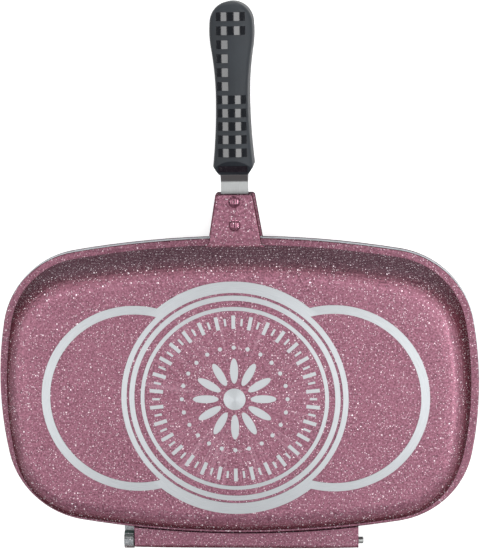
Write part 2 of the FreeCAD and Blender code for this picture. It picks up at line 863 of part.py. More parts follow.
def rivet(prefix, place, number):
    """Round-headed rivet whose tail is set flush into the tang."""
    body = new_body("%s_rivet_%d" % (prefix, number))
    head_level = size.parting_half_gap + size.lug_height
    low = size.tang_above_parting
    shank, tail, head = size.rivet_radius, size.rivet_tail_radius, size.rivet_head_radius
    high = head_level + size.rivet_head_height
    dome = (head.number ** 2 + size.rivet_head_height.number ** 2) / 2
    dome_radius = Size(
        dome / size.rivet_head_height.number,
        "((%s ^ 2 + %s ^ 2) / (2 * %s))"
        % (head.text, size.rivet_head_height.text, size.rivet_head_height.text),
    )
    section = new_sketch(body, body.Name + "_section", "XZ_Plane", -place)
    add_profile(
        section,
        [
            (ZERO, low),
            (tail, low),
            (shank, low + ratio(tail - shank, tangent(size.rivet_sink_angle))),
            (shank, head_level),
            (head, head_level, dome_radius, 1),
            (ZERO, high),
        ],
    )
    turn = body.newObject("PartDesign::Revolution", body.Name + "_turn")
    turn.Profile = section
    turn.ReferenceAxis = (section, ["V_Axis"])
    doc.recompute()
    return body


def rivets(prefix):
    """The half's two rivets, as one group."""
    group = doc.addObject("Part::Compound", prefix + "_rivets")
    group.Label = prefix + "_rivets"
    places = (size.rivet_near, size.rivet_far)
    group.Links = [rivet(prefix, place, number) for number, place in enumerate(places, start=1)]
    return group


def grip_outline(sketch):
    """Plan of the grip: straight mouth, waisted sides of three arcs each, round end."""
    waist, wide, side = size.grip_waist_half_width, size.grip_half_width, size.grip_side_radius
    waist_place, wide_place = size.grip_waist, size.grip_widest
    reach = size.grip_end - wide_place
    spread = product(wide, side * 2) - product(wide, wide) - product(reach, reach)
    end_radius = ratio(spread, (side - reach) * 2)
    end_centre = size.grip_end - end_radius
    rise, taper = wide_place - waist_place, wide - waist
    upper = ratio(product(taper, taper) + product(rise, rise), taper * 2) - side
    fall, flare = waist_place - size.grip_foot, size.grip_foot_half_width - waist
    lower = ratio(product(fall, fall) + product(flare, flare), flare * 2)
    side_x, upper_x, lower_x = wide - side, waist + upper, waist + lower
    lean = math.atan2((end_centre - wide_place).number, -side_x.number)
    bend = math.atan2(rise.number, (upper_x - side_x).number)
    foot_lean = math.atan2(fall.number, (lower - flare).number)
    straight = math.radians(HALF_TURN)
    mouth = Vector(size.grip_mouth_half_width.number, size.grip_start.number, 0)
    foot = Vector(size.grip_foot_half_width.number, size.grip_foot.number, 0)
    mirrored_mouth, mirrored_foot = Vector(-mouth.x, mouth.y, 0), Vector(-foot.x, foot.y, 0)

    def add_arc(across, along, radius, first_angle, last_angle):
        centre = Vector(across.number, along.number, 0)
        circle = Part.Circle(centre, Vector(0, 0, 1), radius.number)
        sketch.addGeometry(Part.ArcOfCircle(circle, first_angle, last_angle))

    sketch.addGeometry(Part.LineSegment(mirrored_mouth, mouth))
    sketch.addGeometry(Part.LineSegment(mouth, foot))
    add_arc(lower_x, waist_place, lower, straight, straight + foot_lean)
    add_arc(upper_x, waist_place, upper, straight - bend, straight)
    add_arc(side_x, wide_place, side, -bend, lean)
    add_arc(ZERO, end_centre, end_radius, lean, straight - lean)
    add_arc(-side_x, wide_place, side, straight - lean, straight + bend)
    add_arc(-upper_x, waist_place, upper, ZERO.number, bend)
    add_arc(-lower_x, waist_place, lower, -foot_lean, ZERO.number)
    sketch.addGeometry(Part.LineSegment(mirrored_foot, mirrored_mouth))

    (mouth_line, right_foot, right_lower, right_upper, right_side,
     end_arc, left_side, left_upper, left_lower, left_foot) = range(sketch.GeometryCount)
    for joint in (
        ("Coincident", mouth_line, 2, right_foot, 1),
        ("Coincident", right_foot, 2, right_lower, 2),
        ("Coincident", right_lower, 1, right_upper, 2),
        ("Tangent", right_upper, 1, right_side, 1),
        ("Tangent", right_side, 2, end_arc, 1),
        ("Tangent", end_arc, 2, left_side, 1),
        ("Tangent", left_side, 2, left_upper, 2),
        ("Coincident", left_upper, 1, left_lower, 2),
        ("Coincident", left_lower, 1, left_foot, 1),
        ("Coincident", left_foot, 2, mouth_line, 1),
        ("PointOnObject", end_arc, 3, -2),
    ):
        sketch.addConstraint(Sketcher.Constraint(*joint))
    pin_point(sketch, mouth_line, 1, -size.grip_mouth_half_width, size.grip_start)
    pin_point(sketch, mouth_line, 2, size.grip_mouth_half_width, size.grip_start)
    for arc, across, along in (
        (right_lower, lower_x, waist_place),
        (right_upper, upper_x, waist_place),
        (right_side, side_x, wide_place),
        (left_side, -side_x, wide_place),
        (left_upper, -upper_x, waist_place),
        (left_lower, -lower_x, waist_place),
    ):
        pin_point(sketch, arc, 3, across, along)
    for place, point, level in (
        (right_upper, 2, waist_place),
        (left_upper, 1, waist_place),
        (right_foot, 2, size.grip_foot),
        (left_foot, 1, size.grip_foot),
    ):
        dimension(sketch, "DistanceY", (-1, 1, place, point), level)
    dimension(sketch, "Radius", (end_arc,), end_radius)
    dimension(sketch, "DistanceY", (-1, 1, end_arc, 3), end_centre)


def grip_pads(body, prefix):
    """Rows of raised pads that follow the crown, and one across the slope of the mouth."""
    crown = size.grip_crown_height
    centre = crown - size.grip_crown_radius
    inner = size.grip_crown_radius - size.pad_root
    outer = size.grip_crown_radius + size.pad_relief
    wide = size.pad_half_width
    pitch = size.pad_pitch
    short_start = size.first_pad - pitch * LONG_PAD_COPIES
    plain_start = short_start - pitch * (SHORT_PAD_COPIES - 1) - size.plain_pad_pitch
    for name, left, right, place, spacing, copies in (
        ("end_pads", -wide, wide, size.first_pad, pitch, LONG_PAD_COPIES),
        ("short_pads", -wide, -size.short_pad_inset, short_start, pitch, SHORT_PAD_COPIES),
        ("plain_pads", -wide, wide, plain_start, size.plain_pad_pitch, PLAIN_PAD_COPIES),
    ):
        sketch = new_sketch(
            body, prefix + name, "XZ_Plane", -(place + size.pad_length / 2)
        )
        corners = []
        for radius, across in ((inner, left), (inner, right), (outer, right), (outer, left)):
            corners.append((across, centre + leg(radius, across)))
        corners[0] = corners[0] + (inner, -1)
        corners[2] = corners[2] + (outer, 1)
        add_profile(sketch, corners)
        pad = extrude(body, sketch, "Pad", size.pad_length)
        repeat(body, pad, "Y_Axis", spacing, copies, backwards=True)

    rise = size.grip_crown_height - size.grip_mouth_height
    run = size.grip_slope_length
    slope = hypotenuse(rise, run)
    along, up = ratio(run, slope), ratio(rise, slope)
    band = new_sketch(body, prefix + "mouth_pad", "YZ_Plane")
    corners = []
    for reach, level in (
        (size.mouth_pad_start, -size.pad_root),
        (size.mouth_pad_start + size.mouth_pad_length, -size.pad_root),
        (size.mouth_pad_start + size.mouth_pad_length, size.pad_relief),
        (size.mouth_pad_start, size.pad_relief),
    ):
        across = size.grip_start + product(reach, along) - product(level, up)
        height = size.grip_mouth_height + product(reach, up) + product(level, along)
        corners.append((across, height))
    add_profile(band, corners)
    extrude(body, band, "Pad", wide * 2, both_ways=True)


def grip(prefix):
    """Half handle: flat where it meets the other half, crowned outside."""
    body = new_body(prefix + "_grip")
    low = size.grip_above_parting
    plan = new_sketch(body, prefix + "_grip_plan", offset=low)
    grip_outline(plan)
    feature = extrude(body, plan, "Pad", size.grip_crown_height - low + size.overrun)
    slack = size.edge_slack.number
    feet = edges_where(
        feature,
        lambda box: box.YMax - box.YMin < slack and abs(box.YMin - size.grip_foot.number) < slack,
    )
    feature = round_edges(body, feature, prefix + "_grip_feet", feet, size.grip_foot_round)

    crown = new_sketch(body, prefix + "_grip_crown", "XZ_Plane")
    side = size.grip_half_width + size.overrun
    drop = size.grip_crown_radius - leg(size.grip_crown_radius, side)
    shoulder = size.grip_crown_height - drop
    sky = size.grip_crown_height + size.overrun * 2
    add_profile(
        crown,
        [(side, shoulder, size.grip_crown_radius, 1), (-side, shoulder), (-side, sky), (side, sky)],
    )
    feature = extrude(body, crown, "Pocket", (size.grip_end + size.overrun) * 2, both_ways=True)

    sides = edges_where(
        feature,
        lambda box: box.ZMin > shoulder.number
        and box.YMax > size.grip_waist.number
        and box.YMin > size.grip_start.number,
    )
    round_edges(body, feature, prefix + "_grip_edges", sides, size.grip_edge_round)

    slope = new_sketch(body, prefix + "_grip_slope", "YZ_Plane")
    steep = ratio(size.grip_crown_height - size.grip_mouth_height, size.grip_slope_length)
    run = size.grip_slope_length + size.overrun
    top_y = size.grip_start + run
    top_z = size.grip_mouth_height + product(steep, run)
    before = size.grip_start - size.overrun
    before_z = size.grip_mouth_height - product(steep, size.overrun)
    add_profile(slope, [(before, before_z), (top_y, top_z), (before, top_z)])
    extrude(body, slope, "Pocket", side * 2, both_ways=True)

    grip_pads(body, prefix + "_")

    slot = new_sketch(body, prefix + "_tang_slot", "XZ_Plane", -size.grip_start)
    half = size.tang_width / 2 + size.tang_clearance
    bottom = size.tang_above_parting + size.tang_rise - size.tang_clearance
    top = bottom + size.tang_thickness + size.tang_clearance * 2
    add_rectangle(slot, -half, half, bottom, top)
    length = size.tang_end - size.grip_start + size.tang_clearance
    extrude(body, slot, "Pocket", length)

    head = new_sketch(body, prefix + "_head_sink", offset=low)
    add_circle(head, ZERO, size.screw_place, size.screw_head_radius + size.head_clearance)
    depth = size.screw_recess + size.screw_head_height
    extrude(body, head, "Pocket", depth, backwards=True)
    shank = new_sketch(body, prefix + "_screw_bore", offset=low)
    add_circle(shank, ZERO, size.screw_place, size.screw_radius + size.screw_clearance)
    extrude(body, shank, "Pocket", depth + size.screw_length + size.head_clearance, backwards=True)
    seat = new_sketch(body, prefix + "_magnet_seat", offset=low)
    add_circle(seat, ZERO, size.magnet_place, size.magnet_radius + size.magnet_clearance)
    depth = size.magnet_thickness + size.magnet_clearance
    extrude(body, seat, "Pocket", depth, backwards=True)
    return body


def grip_screw(prefix):
    """Pan-head screw from the grip's flat face, through the tang, into the crown."""
    body = new_body(prefix + "_grip_screw")
    low = size.grip_above_parting + size.screw_recess
    under_head = low + size.screw_head_height
    section = new_sketch(body, prefix + "_screw_section", "XZ_Plane", -size.screw_place)
    radius, head = size.screw_radius, size.screw_head_radius
    tip = under_head + size.screw_length
    add_profile(
        section,
        [
            (ZERO, low),
            (head - radius / 2, low, radius / 2, 1),
            (head, low + radius / 2),
            (head, under_head),
            (radius, under_head),
            (radius, tip - radius),
            (ZERO, tip),
        ],
    )
    turn = body.newObject("PartDesign::Revolution", prefix + "_screw_turn")
    turn.Profile = section
    turn.ReferenceAxis = (section, ["V_Axis"])
    doc.recompute()
    for name, across, along in (
        ("_drive_one", size.drive_length / 2, size.drive_width / 2),
        ("_drive_two", size.drive_width / 2, size.drive_length / 2),
    ):
        drive = new_sketch(body, prefix + name, offset=low)
        add_rectangle(drive, -across, across, size.screw_place - along, size.screw_place + along)
        extrude(body, drive, "Pocket", size.drive_depth, backwards=True)
    return body


def magnet(prefix):
    disc = doc.addObject("Part::Cylinder", prefix + "_magnet")
    disc.Label = prefix + "_magnet"
    bind(disc, "Radius", size.magnet_radius)
    bind(disc, "Height", size.magnet_thickness)
    return disc


def hinge_pin():
    """Steel pin, seated in both ears and running in the barrel."""
    body = new_body("hinge_pin")
    section = new_sketch(body, "pin_section", "YZ_Plane", size.pin_left)
    add_circle(section, -hinge_axis(), ZERO, size.pin_radius)
    rod = extrude(body, section, "Pad", size.pin_right - size.pin_left)
    slack = size.edge_slack.number
    ends = edges_where(rod, lambda box: box.XMax - box.XMin < slack)
    chamfer = body.newObject("PartDesign::Chamfer", "pin_chamfers")
    chamfer.Base = (rod, ends)
    bind(chamfer, "Size", size.pin_chamfer)
    doc.recompute()
    return body


def place_upright(part):
    """The deep half's side: lifted by the depth of the shallow half."""
    part.Placement = Placement(Vector(0, 0, size.shallow_depth.number), Rotation())
    part.setExpression("Placement.Base.z", size.shallow_depth.text)


def place_turned(part):
    """The shallow half's side: turned over about Y, then lifted by its own depth."""
    over = Rotation(Vector(0, 1, 0), HALF_TURN)
    part.Placement = Placement(Vector(0, 0, size.shallow_depth.number), over)
    part.setExpression("Placement.Base.z", size.shallow_depth.text)


deep_pan = new_body("deep_pan")
pan_shell(
    deep_pan, "deep_", size.deep_depth, size.deep_base_round, ZERO, size.deep_wall_forward
)
base_rings(deep_pan, "deep_", size.deep_depth)
handle_lug(deep_pan, "deep_", ZERO, size.deep_wall_forward)
hinge_barrel(deep_pan)

shallow_pan = new_body("shallow_pan")
pan_shell(
    shallow_pan, "shallow_", size.shallow_depth, size.shallow_base_round,
    size.shallow_rim_lip, ZERO,
)
grill_ribs(shallow_pan)
base_rings(shallow_pan, "shallow_", size.shallow_depth)
handle_lug(shallow_pan, "shallow_", size.shallow_lug_extra, ZERO)
hinge_ears(shallow_pan)
seal_groove(shallow_pan)

nodes = [deep_pan, shallow_pan]
place_upright(deep_pan)
place_turned(shallow_pan)

seal_ring = seal()
place_turned(seal_ring)
nodes.append(seal_ring)

pin = hinge_pin()
place_upright(pin)
nodes.append(pin)

for prefix, place in (("deep", place_upright), ("shallow", place_turned)):
    for piece in (tang(prefix), rivets(prefix), grip(prefix), grip_screw(prefix)):
        place(piece)
        nodes.append(piece)
    disc = magnet(prefix)
    side = 1 if prefix == "deep" else -1
    face = size.grip_above_parting
    middle = face + size.magnet_thickness / 2
    level = size.shallow_depth + middle * side - size.magnet_thickness / 2
    disc.Placement = Placement(Vector(0, size.magnet_place.number, level.number), Rotation())
    disc.setExpression("Placement.Base.y", size.magnet_place.text)
    disc.setExpression("Placement.Base.z", level.text)
    nodes.append(disc)

doc.recompute()
failed = [item.Name for item in doc.Objects if {"Invalid", "Error"} & set(item.State)]
if failed:
    raise RuntimeError("failed features: " + ", ".join(failed))
for node in nodes:
    if node.Shape.isNull() or not node.Shape.isValid():
        raise RuntimeError("bad shape: " + node.Label)
for node in nodes:
    node.Shape.exportStep("parts/%s.step" % node.Label)
    print(node.Label, len(node.Shape.Solids), round(node.Shape.Volume))
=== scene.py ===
import json
import math

import bpy
from mathutils import Matrix, Vector


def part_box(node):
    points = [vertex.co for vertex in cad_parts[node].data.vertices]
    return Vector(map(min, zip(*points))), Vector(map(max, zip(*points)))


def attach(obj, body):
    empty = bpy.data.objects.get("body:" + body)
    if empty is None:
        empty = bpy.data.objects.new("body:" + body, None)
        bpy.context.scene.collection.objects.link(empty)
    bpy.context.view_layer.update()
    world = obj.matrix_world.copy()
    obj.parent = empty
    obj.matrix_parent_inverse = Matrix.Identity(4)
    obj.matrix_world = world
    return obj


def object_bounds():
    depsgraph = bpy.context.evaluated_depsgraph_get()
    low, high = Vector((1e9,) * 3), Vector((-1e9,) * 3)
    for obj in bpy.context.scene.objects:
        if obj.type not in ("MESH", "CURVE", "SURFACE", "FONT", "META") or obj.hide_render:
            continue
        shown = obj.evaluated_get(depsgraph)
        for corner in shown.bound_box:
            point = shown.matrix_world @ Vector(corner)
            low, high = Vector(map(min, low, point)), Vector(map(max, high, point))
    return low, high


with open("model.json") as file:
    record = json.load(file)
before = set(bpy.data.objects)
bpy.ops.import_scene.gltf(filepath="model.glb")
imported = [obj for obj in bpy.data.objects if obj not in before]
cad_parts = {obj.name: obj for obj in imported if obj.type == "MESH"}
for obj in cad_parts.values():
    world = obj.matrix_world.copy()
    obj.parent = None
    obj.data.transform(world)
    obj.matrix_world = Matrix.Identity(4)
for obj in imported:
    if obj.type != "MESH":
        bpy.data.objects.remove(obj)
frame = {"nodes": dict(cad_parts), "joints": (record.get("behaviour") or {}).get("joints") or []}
cad_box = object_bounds()
bpy.context.scene.view_settings.view_transform = "Standard"
bpy.ops.object.select_all(action="DESELECT")


# The two pan halves are die-cast aluminium, sprayed with a granite-look non-stick coat that
# is mauve pink outside, with painted shade on the steep walls, and charcoal inside. The base rings
# and the edges of the rims are turned bare afterwards, and the outer hinge ear keeps a grey coat.
PARTING_HEIGHT = frame["joints"][0]["pos_m"][2]
PAN_HEIGHT = cad_box[1][2]
MIDDLE_HEIGHT = PAN_HEIGHT / 2
RING_HEIGHT = 0.0005
BASE_SLACK = 0.0002
RING_FORWARD = 0.0017
SIDE_RING_CENTRE = 0.0802
CENTRE_RINGS = 0.0974
SUNBURST_REACH = 0.0733
SUNBURST_FADE = (0.012, 0.045)
CAVITY_HALF_LENGTH = 0.1926
CAVITY_HALF_WIDTH = 0.1197
CAVITIES_REACH = 0.0360
RIB_FIELD = (0.150, 0.083)
RIB_MIDDLE = 0.0053
RIB_BAND = 0.0012
PARTING_BAND = 0.0005
LIP_MIDDLE = 0.0283
LIP_BAND = 0.0013
RIM_END = 0.1281
EAR_CORNER = (-0.0908, -0.1222)

PINK_LIGHT = (0.335, 0.139, 0.197, 1)
PINK_DEEP = (0.110, 0.034, 0.056, 1)
RAY_PINK = (0.55, 0.34, 0.42, 1)
CHARCOAL_LIGHT = (0.060, 0.060, 0.063, 1)
CHARCOAL_DEEP = (0.026, 0.026, 0.028, 1)
GREY_LIGHT = (0.360, 0.374, 0.388, 1)
GREY_DEEP = (0.170, 0.180, 0.190, 1)
FLECK_WHITE = (1.0, 0.90, 0.95, 1)
BARE_ALUMINIUM = (0.56, 0.58, 0.60, 1)
TURNED_DEEP = (0.43, 0.45, 0.47, 1)
# Tones that multiply the coat on the steep walls as painted shade; the handle-side one is also a
# painted grey reflection
WALL_SHADE_TONE = (0.50, 0.38, 0.37, 1)
STEEP_WALL_SHADE_TONE = (0.29, 0.21, 0.20, 1)
HANDLE_WALL_SHADE_REFLECTION_TONE = (0.37, 0.50, 0.44, 1)

# Patterns of noise: scale to the metre, detail and roughness, and the range that each uses
MOTTLE = (620.0, 4.0, 0.65)
MOTTLE_RANGE = (0.36, 0.64)
CLOUDS = (34.0, 3.0)
CLOUD_RANGE = (0.35, 0.65)
CLOUD_SHARE = 0.18
STIR = (900.0, 2.0)
STIR_REACH = 0.0005
PEEL = (1500.0, 2.0)
TURNING = (5200.0, 3.0, 0.7)
TURNING_SWAY = 0.0012
RAYS = (17.0, 4.0, 0.7)
RAY_RANGE = (0.50, 0.66)
RAY_SHARE = 0.30
USUAL_RANGE = (0.3, 0.7)

# Specks: cells in a metre, share of them that hold one, smallest and largest size in a cell
LARGE_FLECKS = (420.0, 0.20, 0.14, 0.31)
FINE_FLECKS = (900.0, 0.34, 0.18, 0.40)
FINE_BRIGHTNESS = 0.72
FLECK_EDGE = 0.09
FAINTEST_FLECK = 0.60

# How the coat dulls and takes painted shade on faces that stand up, with 1 for a level face
LEVEL_FACE = 0.5
LONG_WALL_SHADE = 0.32
GLOSS_AND_SHADE_RANGE = (0.55, 0.90)
STEEP_RANGE = (0.20, 0.75)
HANDLE_WALL_RANGE = (0.30, 0.90)

COAT_METALLIC = 0.52
COAT_SPECULAR = 0.5
COAT_ROUGHNESS = (0.38, 0.48)
THIN_COAT_ROUGHNESS = 0.72
TURNED_ROUGHNESS = (0.40, 0.54)
RING_ANISOTROPY = 0.35

# Relief: the weights of its patterns, then its strength and its depth in metres
SPECK_WEIGHT = 0.8
RAY_WEIGHT = 1.2
TURNING_WEIGHT = 0.5
COAT_RELIEF = (0.5, 0.00006)


def new_finish(name):
    """An empty material with its shader, which the caller then dresses."""
    finish = bpy.data.materials.new(name)
    finish.use_nodes = True
    return finish, finish.node_tree.nodes["Principled BSDF"]


def feed(finish, node, sockets):
    """Sets a node's sockets to values, or links them to other nodes' outputs."""
    for key, value in sockets.items():
        if isinstance(value, bpy.types.NodeSocket):
            finish.node_tree.links.new(value, node.inputs[key])
        else:
            node.inputs[key].default_value = value


def lay(finish, kind, sockets, **settings):
    """Adds one node with its settings and feeds its sockets."""
    node = finish.node_tree.nodes.new(kind)
    for name, value in settings.items():
        setattr(node, name, value)
    feed(finish, node, sockets)
    return node


def reckon(finish, operation, *values):
    """One step of arithmetic between values or outputs."""
    return lay(finish, "ShaderNodeMath", dict(enumerate(values)), operation=operation).outputs[0]


def product(finish, first, *others):
    """Several values multiplied: of masks, where all of them hold."""
    for other in others:
        first = reckon(finish, "MULTIPLY", first, other)
    return first


def within(finish, value, middle, reach):
    """1 where the value lies within the reach of the middle."""
    away = reckon(finish, "ABSOLUTE", reckon(finish, "SUBTRACT", value, middle))
    return reckon(finish, "LESS_THAN", away, reach)


def distance(finish, vector):
    """Length of a vector."""
    return lay(finish, "ShaderNodeVectorMath", {0: vector}, operation="LENGTH").outputs["Value"]


def blend_colours(finish, share, first, second, how="MIX"):
    """The first colour turning into the second as the share goes from 0 to 1."""
    sockets = {0: share, 6: first, 7: second}
    mix = lay(finish, "ShaderNodeMix", sockets, data_type="RGBA", blend_type=how)
    return mix.outputs[2]


def blend_values(finish, share, first, second):
    """The first value turning into the second as the share goes from 0 to 1."""
    return lay(finish, "ShaderNodeMix", {0: share, 2: first, 3: second}).outputs[0]


def spread(finish, value, low, high, to_low=0.0, to_high=1.0):
    """Stretches a range of values to another one, held at its ends."""
    sockets = {0: value, 1: low, 2: high, 3: to_low, 4: to_high}
    return lay(finish, "ShaderNodeMapRange", sockets).outputs[0]


def noise(finish, places, scale, detail, roughness=0.5, output="Fac"):
    """A cloudy pattern of values, or of colours where that output is named."""
    sockets = {"Vector": places, "Scale": scale, "Detail": detail, "Roughness": roughness}
    return lay(finish, "ShaderNodeTexNoise", sockets).outputs[output]


def flecks(finish, places, per_metre, share, smallest, largest):
    """Irregular specks: a share of the cells holds one, each of its own size."""
    cells = lay(finish, "ShaderNodeTexVoronoi", {"Vector": places, "Scale": per_metre})
    chance = lay(finish, "ShaderNodeSeparateColor", {0: cells.outputs["Color"]})
    size = spread(finish, chance.outputs[0], 0.0, 1.0, smallest, largest)
    inside = reckon(finish, "SUBTRACT", size, cells.outputs["Distance"])
    speck = spread(finish, inside, 0.0, FLECK_EDGE)
    kept = reckon(finish, "LESS_THAN", chance.outputs[1], share)
    bright = spread(finish, chance.outputs[2], 0.0, 1.0, FAINTEST_FLECK, 1.0)
    return product(finish, speck, kept, bright)


def object_places(finish):
    """Places in the frame that the CAD and the scene share."""
    return lay(finish, "ShaderNodeTexCoord", {}).outputs["Object"]


def coated_places(finish):
    """Those places, and the same slightly stirred, so that specks aren't round."""
    places = object_places(finish)
    sockets = {0: noise(finish, places, *STIR, output="Color"), 1: (0.5, 0.5, 0.5)}
    centred = lay(finish, "ShaderNodeVectorMath", sockets, operation="SUBTRACT").outputs[0]
    sockets = {0: centred, "Scale": STIR_REACH}
    small = lay(finish, "ShaderNodeVectorMath", sockets, operation="SCALE").outputs[0]
    sockets = {0: places, 1: small}
    return places, lay(finish, "ShaderNodeVectorMath", sockets, operation="ADD").outputs[0]


def relieve(finish, shader, height, strength, depth):
    """Gives the surface a fine relief."""
    bump = lay(finish, "ShaderNodeBump", {"Height": height, "Strength": strength, "Distance": depth})
    feed(finish, shader, {"Normal": bump.outputs[0]})


def dress(finish, *nodes):
    """Gives CAD nodes a finish in place of their plain one."""
    for node in nodes:
        materials = frame["nodes"][node].data.materials
        materials.clear()
        materials.append(finish)


granite, shader = new_finish("granite_coat")
places, stirred = coated_places(granite)
x, y, z = lay(granite, "ShaderNodeSeparateXYZ", {0: places}).outputs
own_normal = lay(
    granite, "ShaderNodeVectorTransform",
    {0: lay(granite, "ShaderNodeNewGeometry", {}).outputs["True Normal"]},
    vector_type="NORMAL", convert_from="WORLD", convert_to="OBJECT",
).outputs[0]
facing_x, facing_y, facing_z = lay(granite, "ShaderNodeSeparateXYZ", {0: own_normal}).outputs
flatness = reckon(granite, "ABSOLUTE", facing_z)

# Inside of the cavities: the faces that look back at the middle of the parting face
rise = reckon(granite, "SUBTRACT", z, PARTING_HEIGHT)
from_parting = lay(granite, "ShaderNodeCombineXYZ", {0: x, 1: y, 2: rise}).outputs[0]
outward = lay(
    granite, "ShaderNodeVectorMath", {0: from_parting, 1: own_normal}, operation="DOT_PRODUCT"
).outputs["Value"]
cavities = product(
    granite,
    reckon(granite, "LESS_THAN", outward, 0.0),
    within(granite, x, 0.0, CAVITY_HALF_LENGTH),
    within(granite, y, 0.0, CAVITY_HALF_WIDTH),
    within(granite, z, MIDDLE_HEIGHT, CAVITIES_REACH),
)
ribs = product(
    granite,
    within(granite, x, 0.0, RIB_FIELD[0]),
    within(granite, y, 0.0, RIB_FIELD[1]),
    within(granite, z, RIB_MIDDLE, RIB_BAND),
)
inside = reckon(granite, "MAXIMUM", cavities, ribs)
outside = reckon(granite, "SUBTRACT", 1.0, inside)

# Bare metal: the lands of the base rings, the rims' parting faces and the deep rim's lip
ear = product(
    granite,
    reckon(granite, "LESS_THAN", x, EAR_CORNER[0]),
    reckon(granite, "LESS_THAN", y, EAR_CORNER[1]),
)
from_middle_height = reckon(granite, "ABSOLUTE", reckon(granite, "SUBTRACT", z, MIDDLE_HEIGHT))
land_reach = MIDDLE_HEIGHT - RING_HEIGHT / 2
lands = reckon(granite, "GREATER_THAN", from_middle_height, land_reach)
level = reckon(granite, "GREATER_THAN", flatness, LEVEL_FACE)
faces = product(granite, within(granite, z, PARTING_HEIGHT, PARTING_BAND), level)
lip = product(granite, within(granite, z, LIP_MIDDLE, LIP_BAND), outside)
edge = product(
    granite,
    reckon(granite, "MAXIMUM", faces, lip),
    within(granite, y, 0.0, RIM_END),
    reckon(granite, "SUBTRACT", 1.0, ear),
)
bare = reckon(granite, "MAXIMUM", lands, edge)

# Turning marks run round the middle, or round the side ring's own centre
ring_y = reckon(granite, "SUBTRACT", y, RING_FORWARD)
reach = distance(granite, lay(granite, "ShaderNodeCombineXYZ", {0: x, 1: ring_y}).outputs[0])
on_side_ring = reckon(granite, "GREATER_THAN", reach, CENTRE_RINGS)
shift = product(granite, on_side_ring, SIDE_RING_CENTRE, reckon(granite, "SIGN", x))
ring_x = reckon(granite, "SUBTRACT", x, shift)
ring_spot = lay(granite, "ShaderNodeCombineXYZ", {0: ring_x, 1: ring_y}).outputs[0]
ring_angle = reckon(granite, "ARCTAN2", ring_y, ring_x)
along_marks = lay(
    granite, "ShaderNodeCombineXYZ",
    {0: distance(granite, ring_spot), 1: product(granite, ring_angle, TURNING_SWAY)},
).outputs[0]
across_marks = lay(
    granite, "ShaderNodeVectorMath", {0: ring_spot}, operation="NORMALIZE"
).outputs[0]
turning = noise(granite, along_marks, *TURNING)

# Cast sunburst of fine rays inside the thin ring
rays = product(
    granite,
    spread(granite, noise(granite, across_marks, *RAYS), *RAY_RANGE),
    reckon(granite, "LESS_THAN", reach, SUNBURST_REACH),
    reckon(granite, "GREATER_THAN", z, PAN_HEIGHT - RING_HEIGHT - BASE_SLACK),
    spread(granite, reach, *SUNBURST_FADE),
)

# The coat itself: mottled pink outside, charcoal inside and grey on the outer ear
mottle = noise(granite, places, *MOTTLE)
mottle_share = spread(granite, mottle, *MOTTLE_RANGE)
clouds = spread(granite, noise(granite, places, *CLOUDS), *CLOUD_RANGE, 0.0, CLOUD_SHARE)
pink = blend_colours(granite, mottle_share, PINK_DEEP, PINK_LIGHT)
pink = blend_colours(granite, clouds, pink, PINK_LIGHT)
pink = blend_colours(granite, product(granite, rays, RAY_SHARE), pink, RAY_PINK)
charcoal = blend_colours(granite, mottle_share, CHARCOAL_DEEP, CHARCOAL_LIGHT)
grey = blend_colours(granite, mottle_share, GREY_DEEP, GREY_LIGHT)
coat = blend_colours(granite, inside, pink, charcoal)
coat = blend_colours(granite, ear, coat, grey)

# The coat is duller on the steep walls, the long ones most, and its colour there is multiplied
# darker and redder as painted shade, greyer on the handle's side as a painted reflection
long_wall = reckon(granite, "ABSOLUTE", facing_y)
shade_levelness = reckon(granite, "SUBTRACT", flatness, product(granite, long_wall, LONG_WALL_SHADE))
glossy_unshaded = spread(granite, shade_levelness, *GLOSS_AND_SHADE_RANGE)
painted_shade_tone = blend_colours(
    granite, spread(granite, shade_levelness, *STEEP_RANGE), STEEP_WALL_SHADE_TONE, WALL_SHADE_TONE
)
handle_wall = spread(granite, facing_y, *HANDLE_WALL_RANGE)
painted_shade_tone = blend_colours(granite, handle_wall, painted_shade_tone, HANDLE_WALL_SHADE_REFLECTION_TONE)
# The coat with the painted shade multiplied in
shaded_coat = blend_colours(granite, 1.0, coat, painted_shade_tone, "MULTIPLY")
coat = blend_colours(granite, reckon(granite, "MAXIMUM", glossy_unshaded, inside), shaded_coat, coat)

large = flecks(granite, stirred, *LARGE_FLECKS)
fine = product(granite, flecks(granite, stirred, *FINE_FLECKS), FINE_BRIGHTNESS)
speck = reckon(granite, "MAXIMUM", large, fine)
coat = blend_colours(granite, speck, coat, FLECK_WHITE)
metal = blend_colours(granite, spread(granite, turning, *USUAL_RANGE), BARE_ALUMINIUM, TURNED_DEEP)

coat_metallic = product(granite, spread(granite, speck, 0.0, 1.0, COAT_METALLIC, 0.0), glossy_unshaded)
coat_rough = spread(granite, mottle, *USUAL_RANGE, *COAT_ROUGHNESS)
coat_rough = blend_values(granite, glossy_unshaded, THIN_COAT_ROUGHNESS, coat_rough)
metal_rough = spread(granite, turning, *USUAL_RANGE, *TURNED_ROUGHNESS)
feed(granite, shader, {
    "Base Color": blend_colours(granite, bare, coat, metal),
    "Metallic": blend_values(granite, bare, coat_metallic, 1.0),
    "Roughness": blend_values(granite, bare, coat_rough, metal_rough),
    "Specular IOR Level": product(granite, glossy_unshaded, COAT_SPECULAR),
    "Anisotropic": product(granite, lands, RING_ANISOTROPY),
    "Tangent": across_marks,
})
peel = noise(granite, places, *PEEL)
coat_relief = reckon(
    granite, "ADD",
    reckon(granite, "ADD", peel, product(granite, speck, SPECK_WEIGHT)),
    product(granite, rays, RAY_WEIGHT),
)
relief = blend_values(granite, bare, coat_relief, product(granite, turning, TURNING_WEIGHT))
relieve(granite, shader, relief, *COAT_RELIEF)
dress(granite, "deep_pan", "shallow_pan")


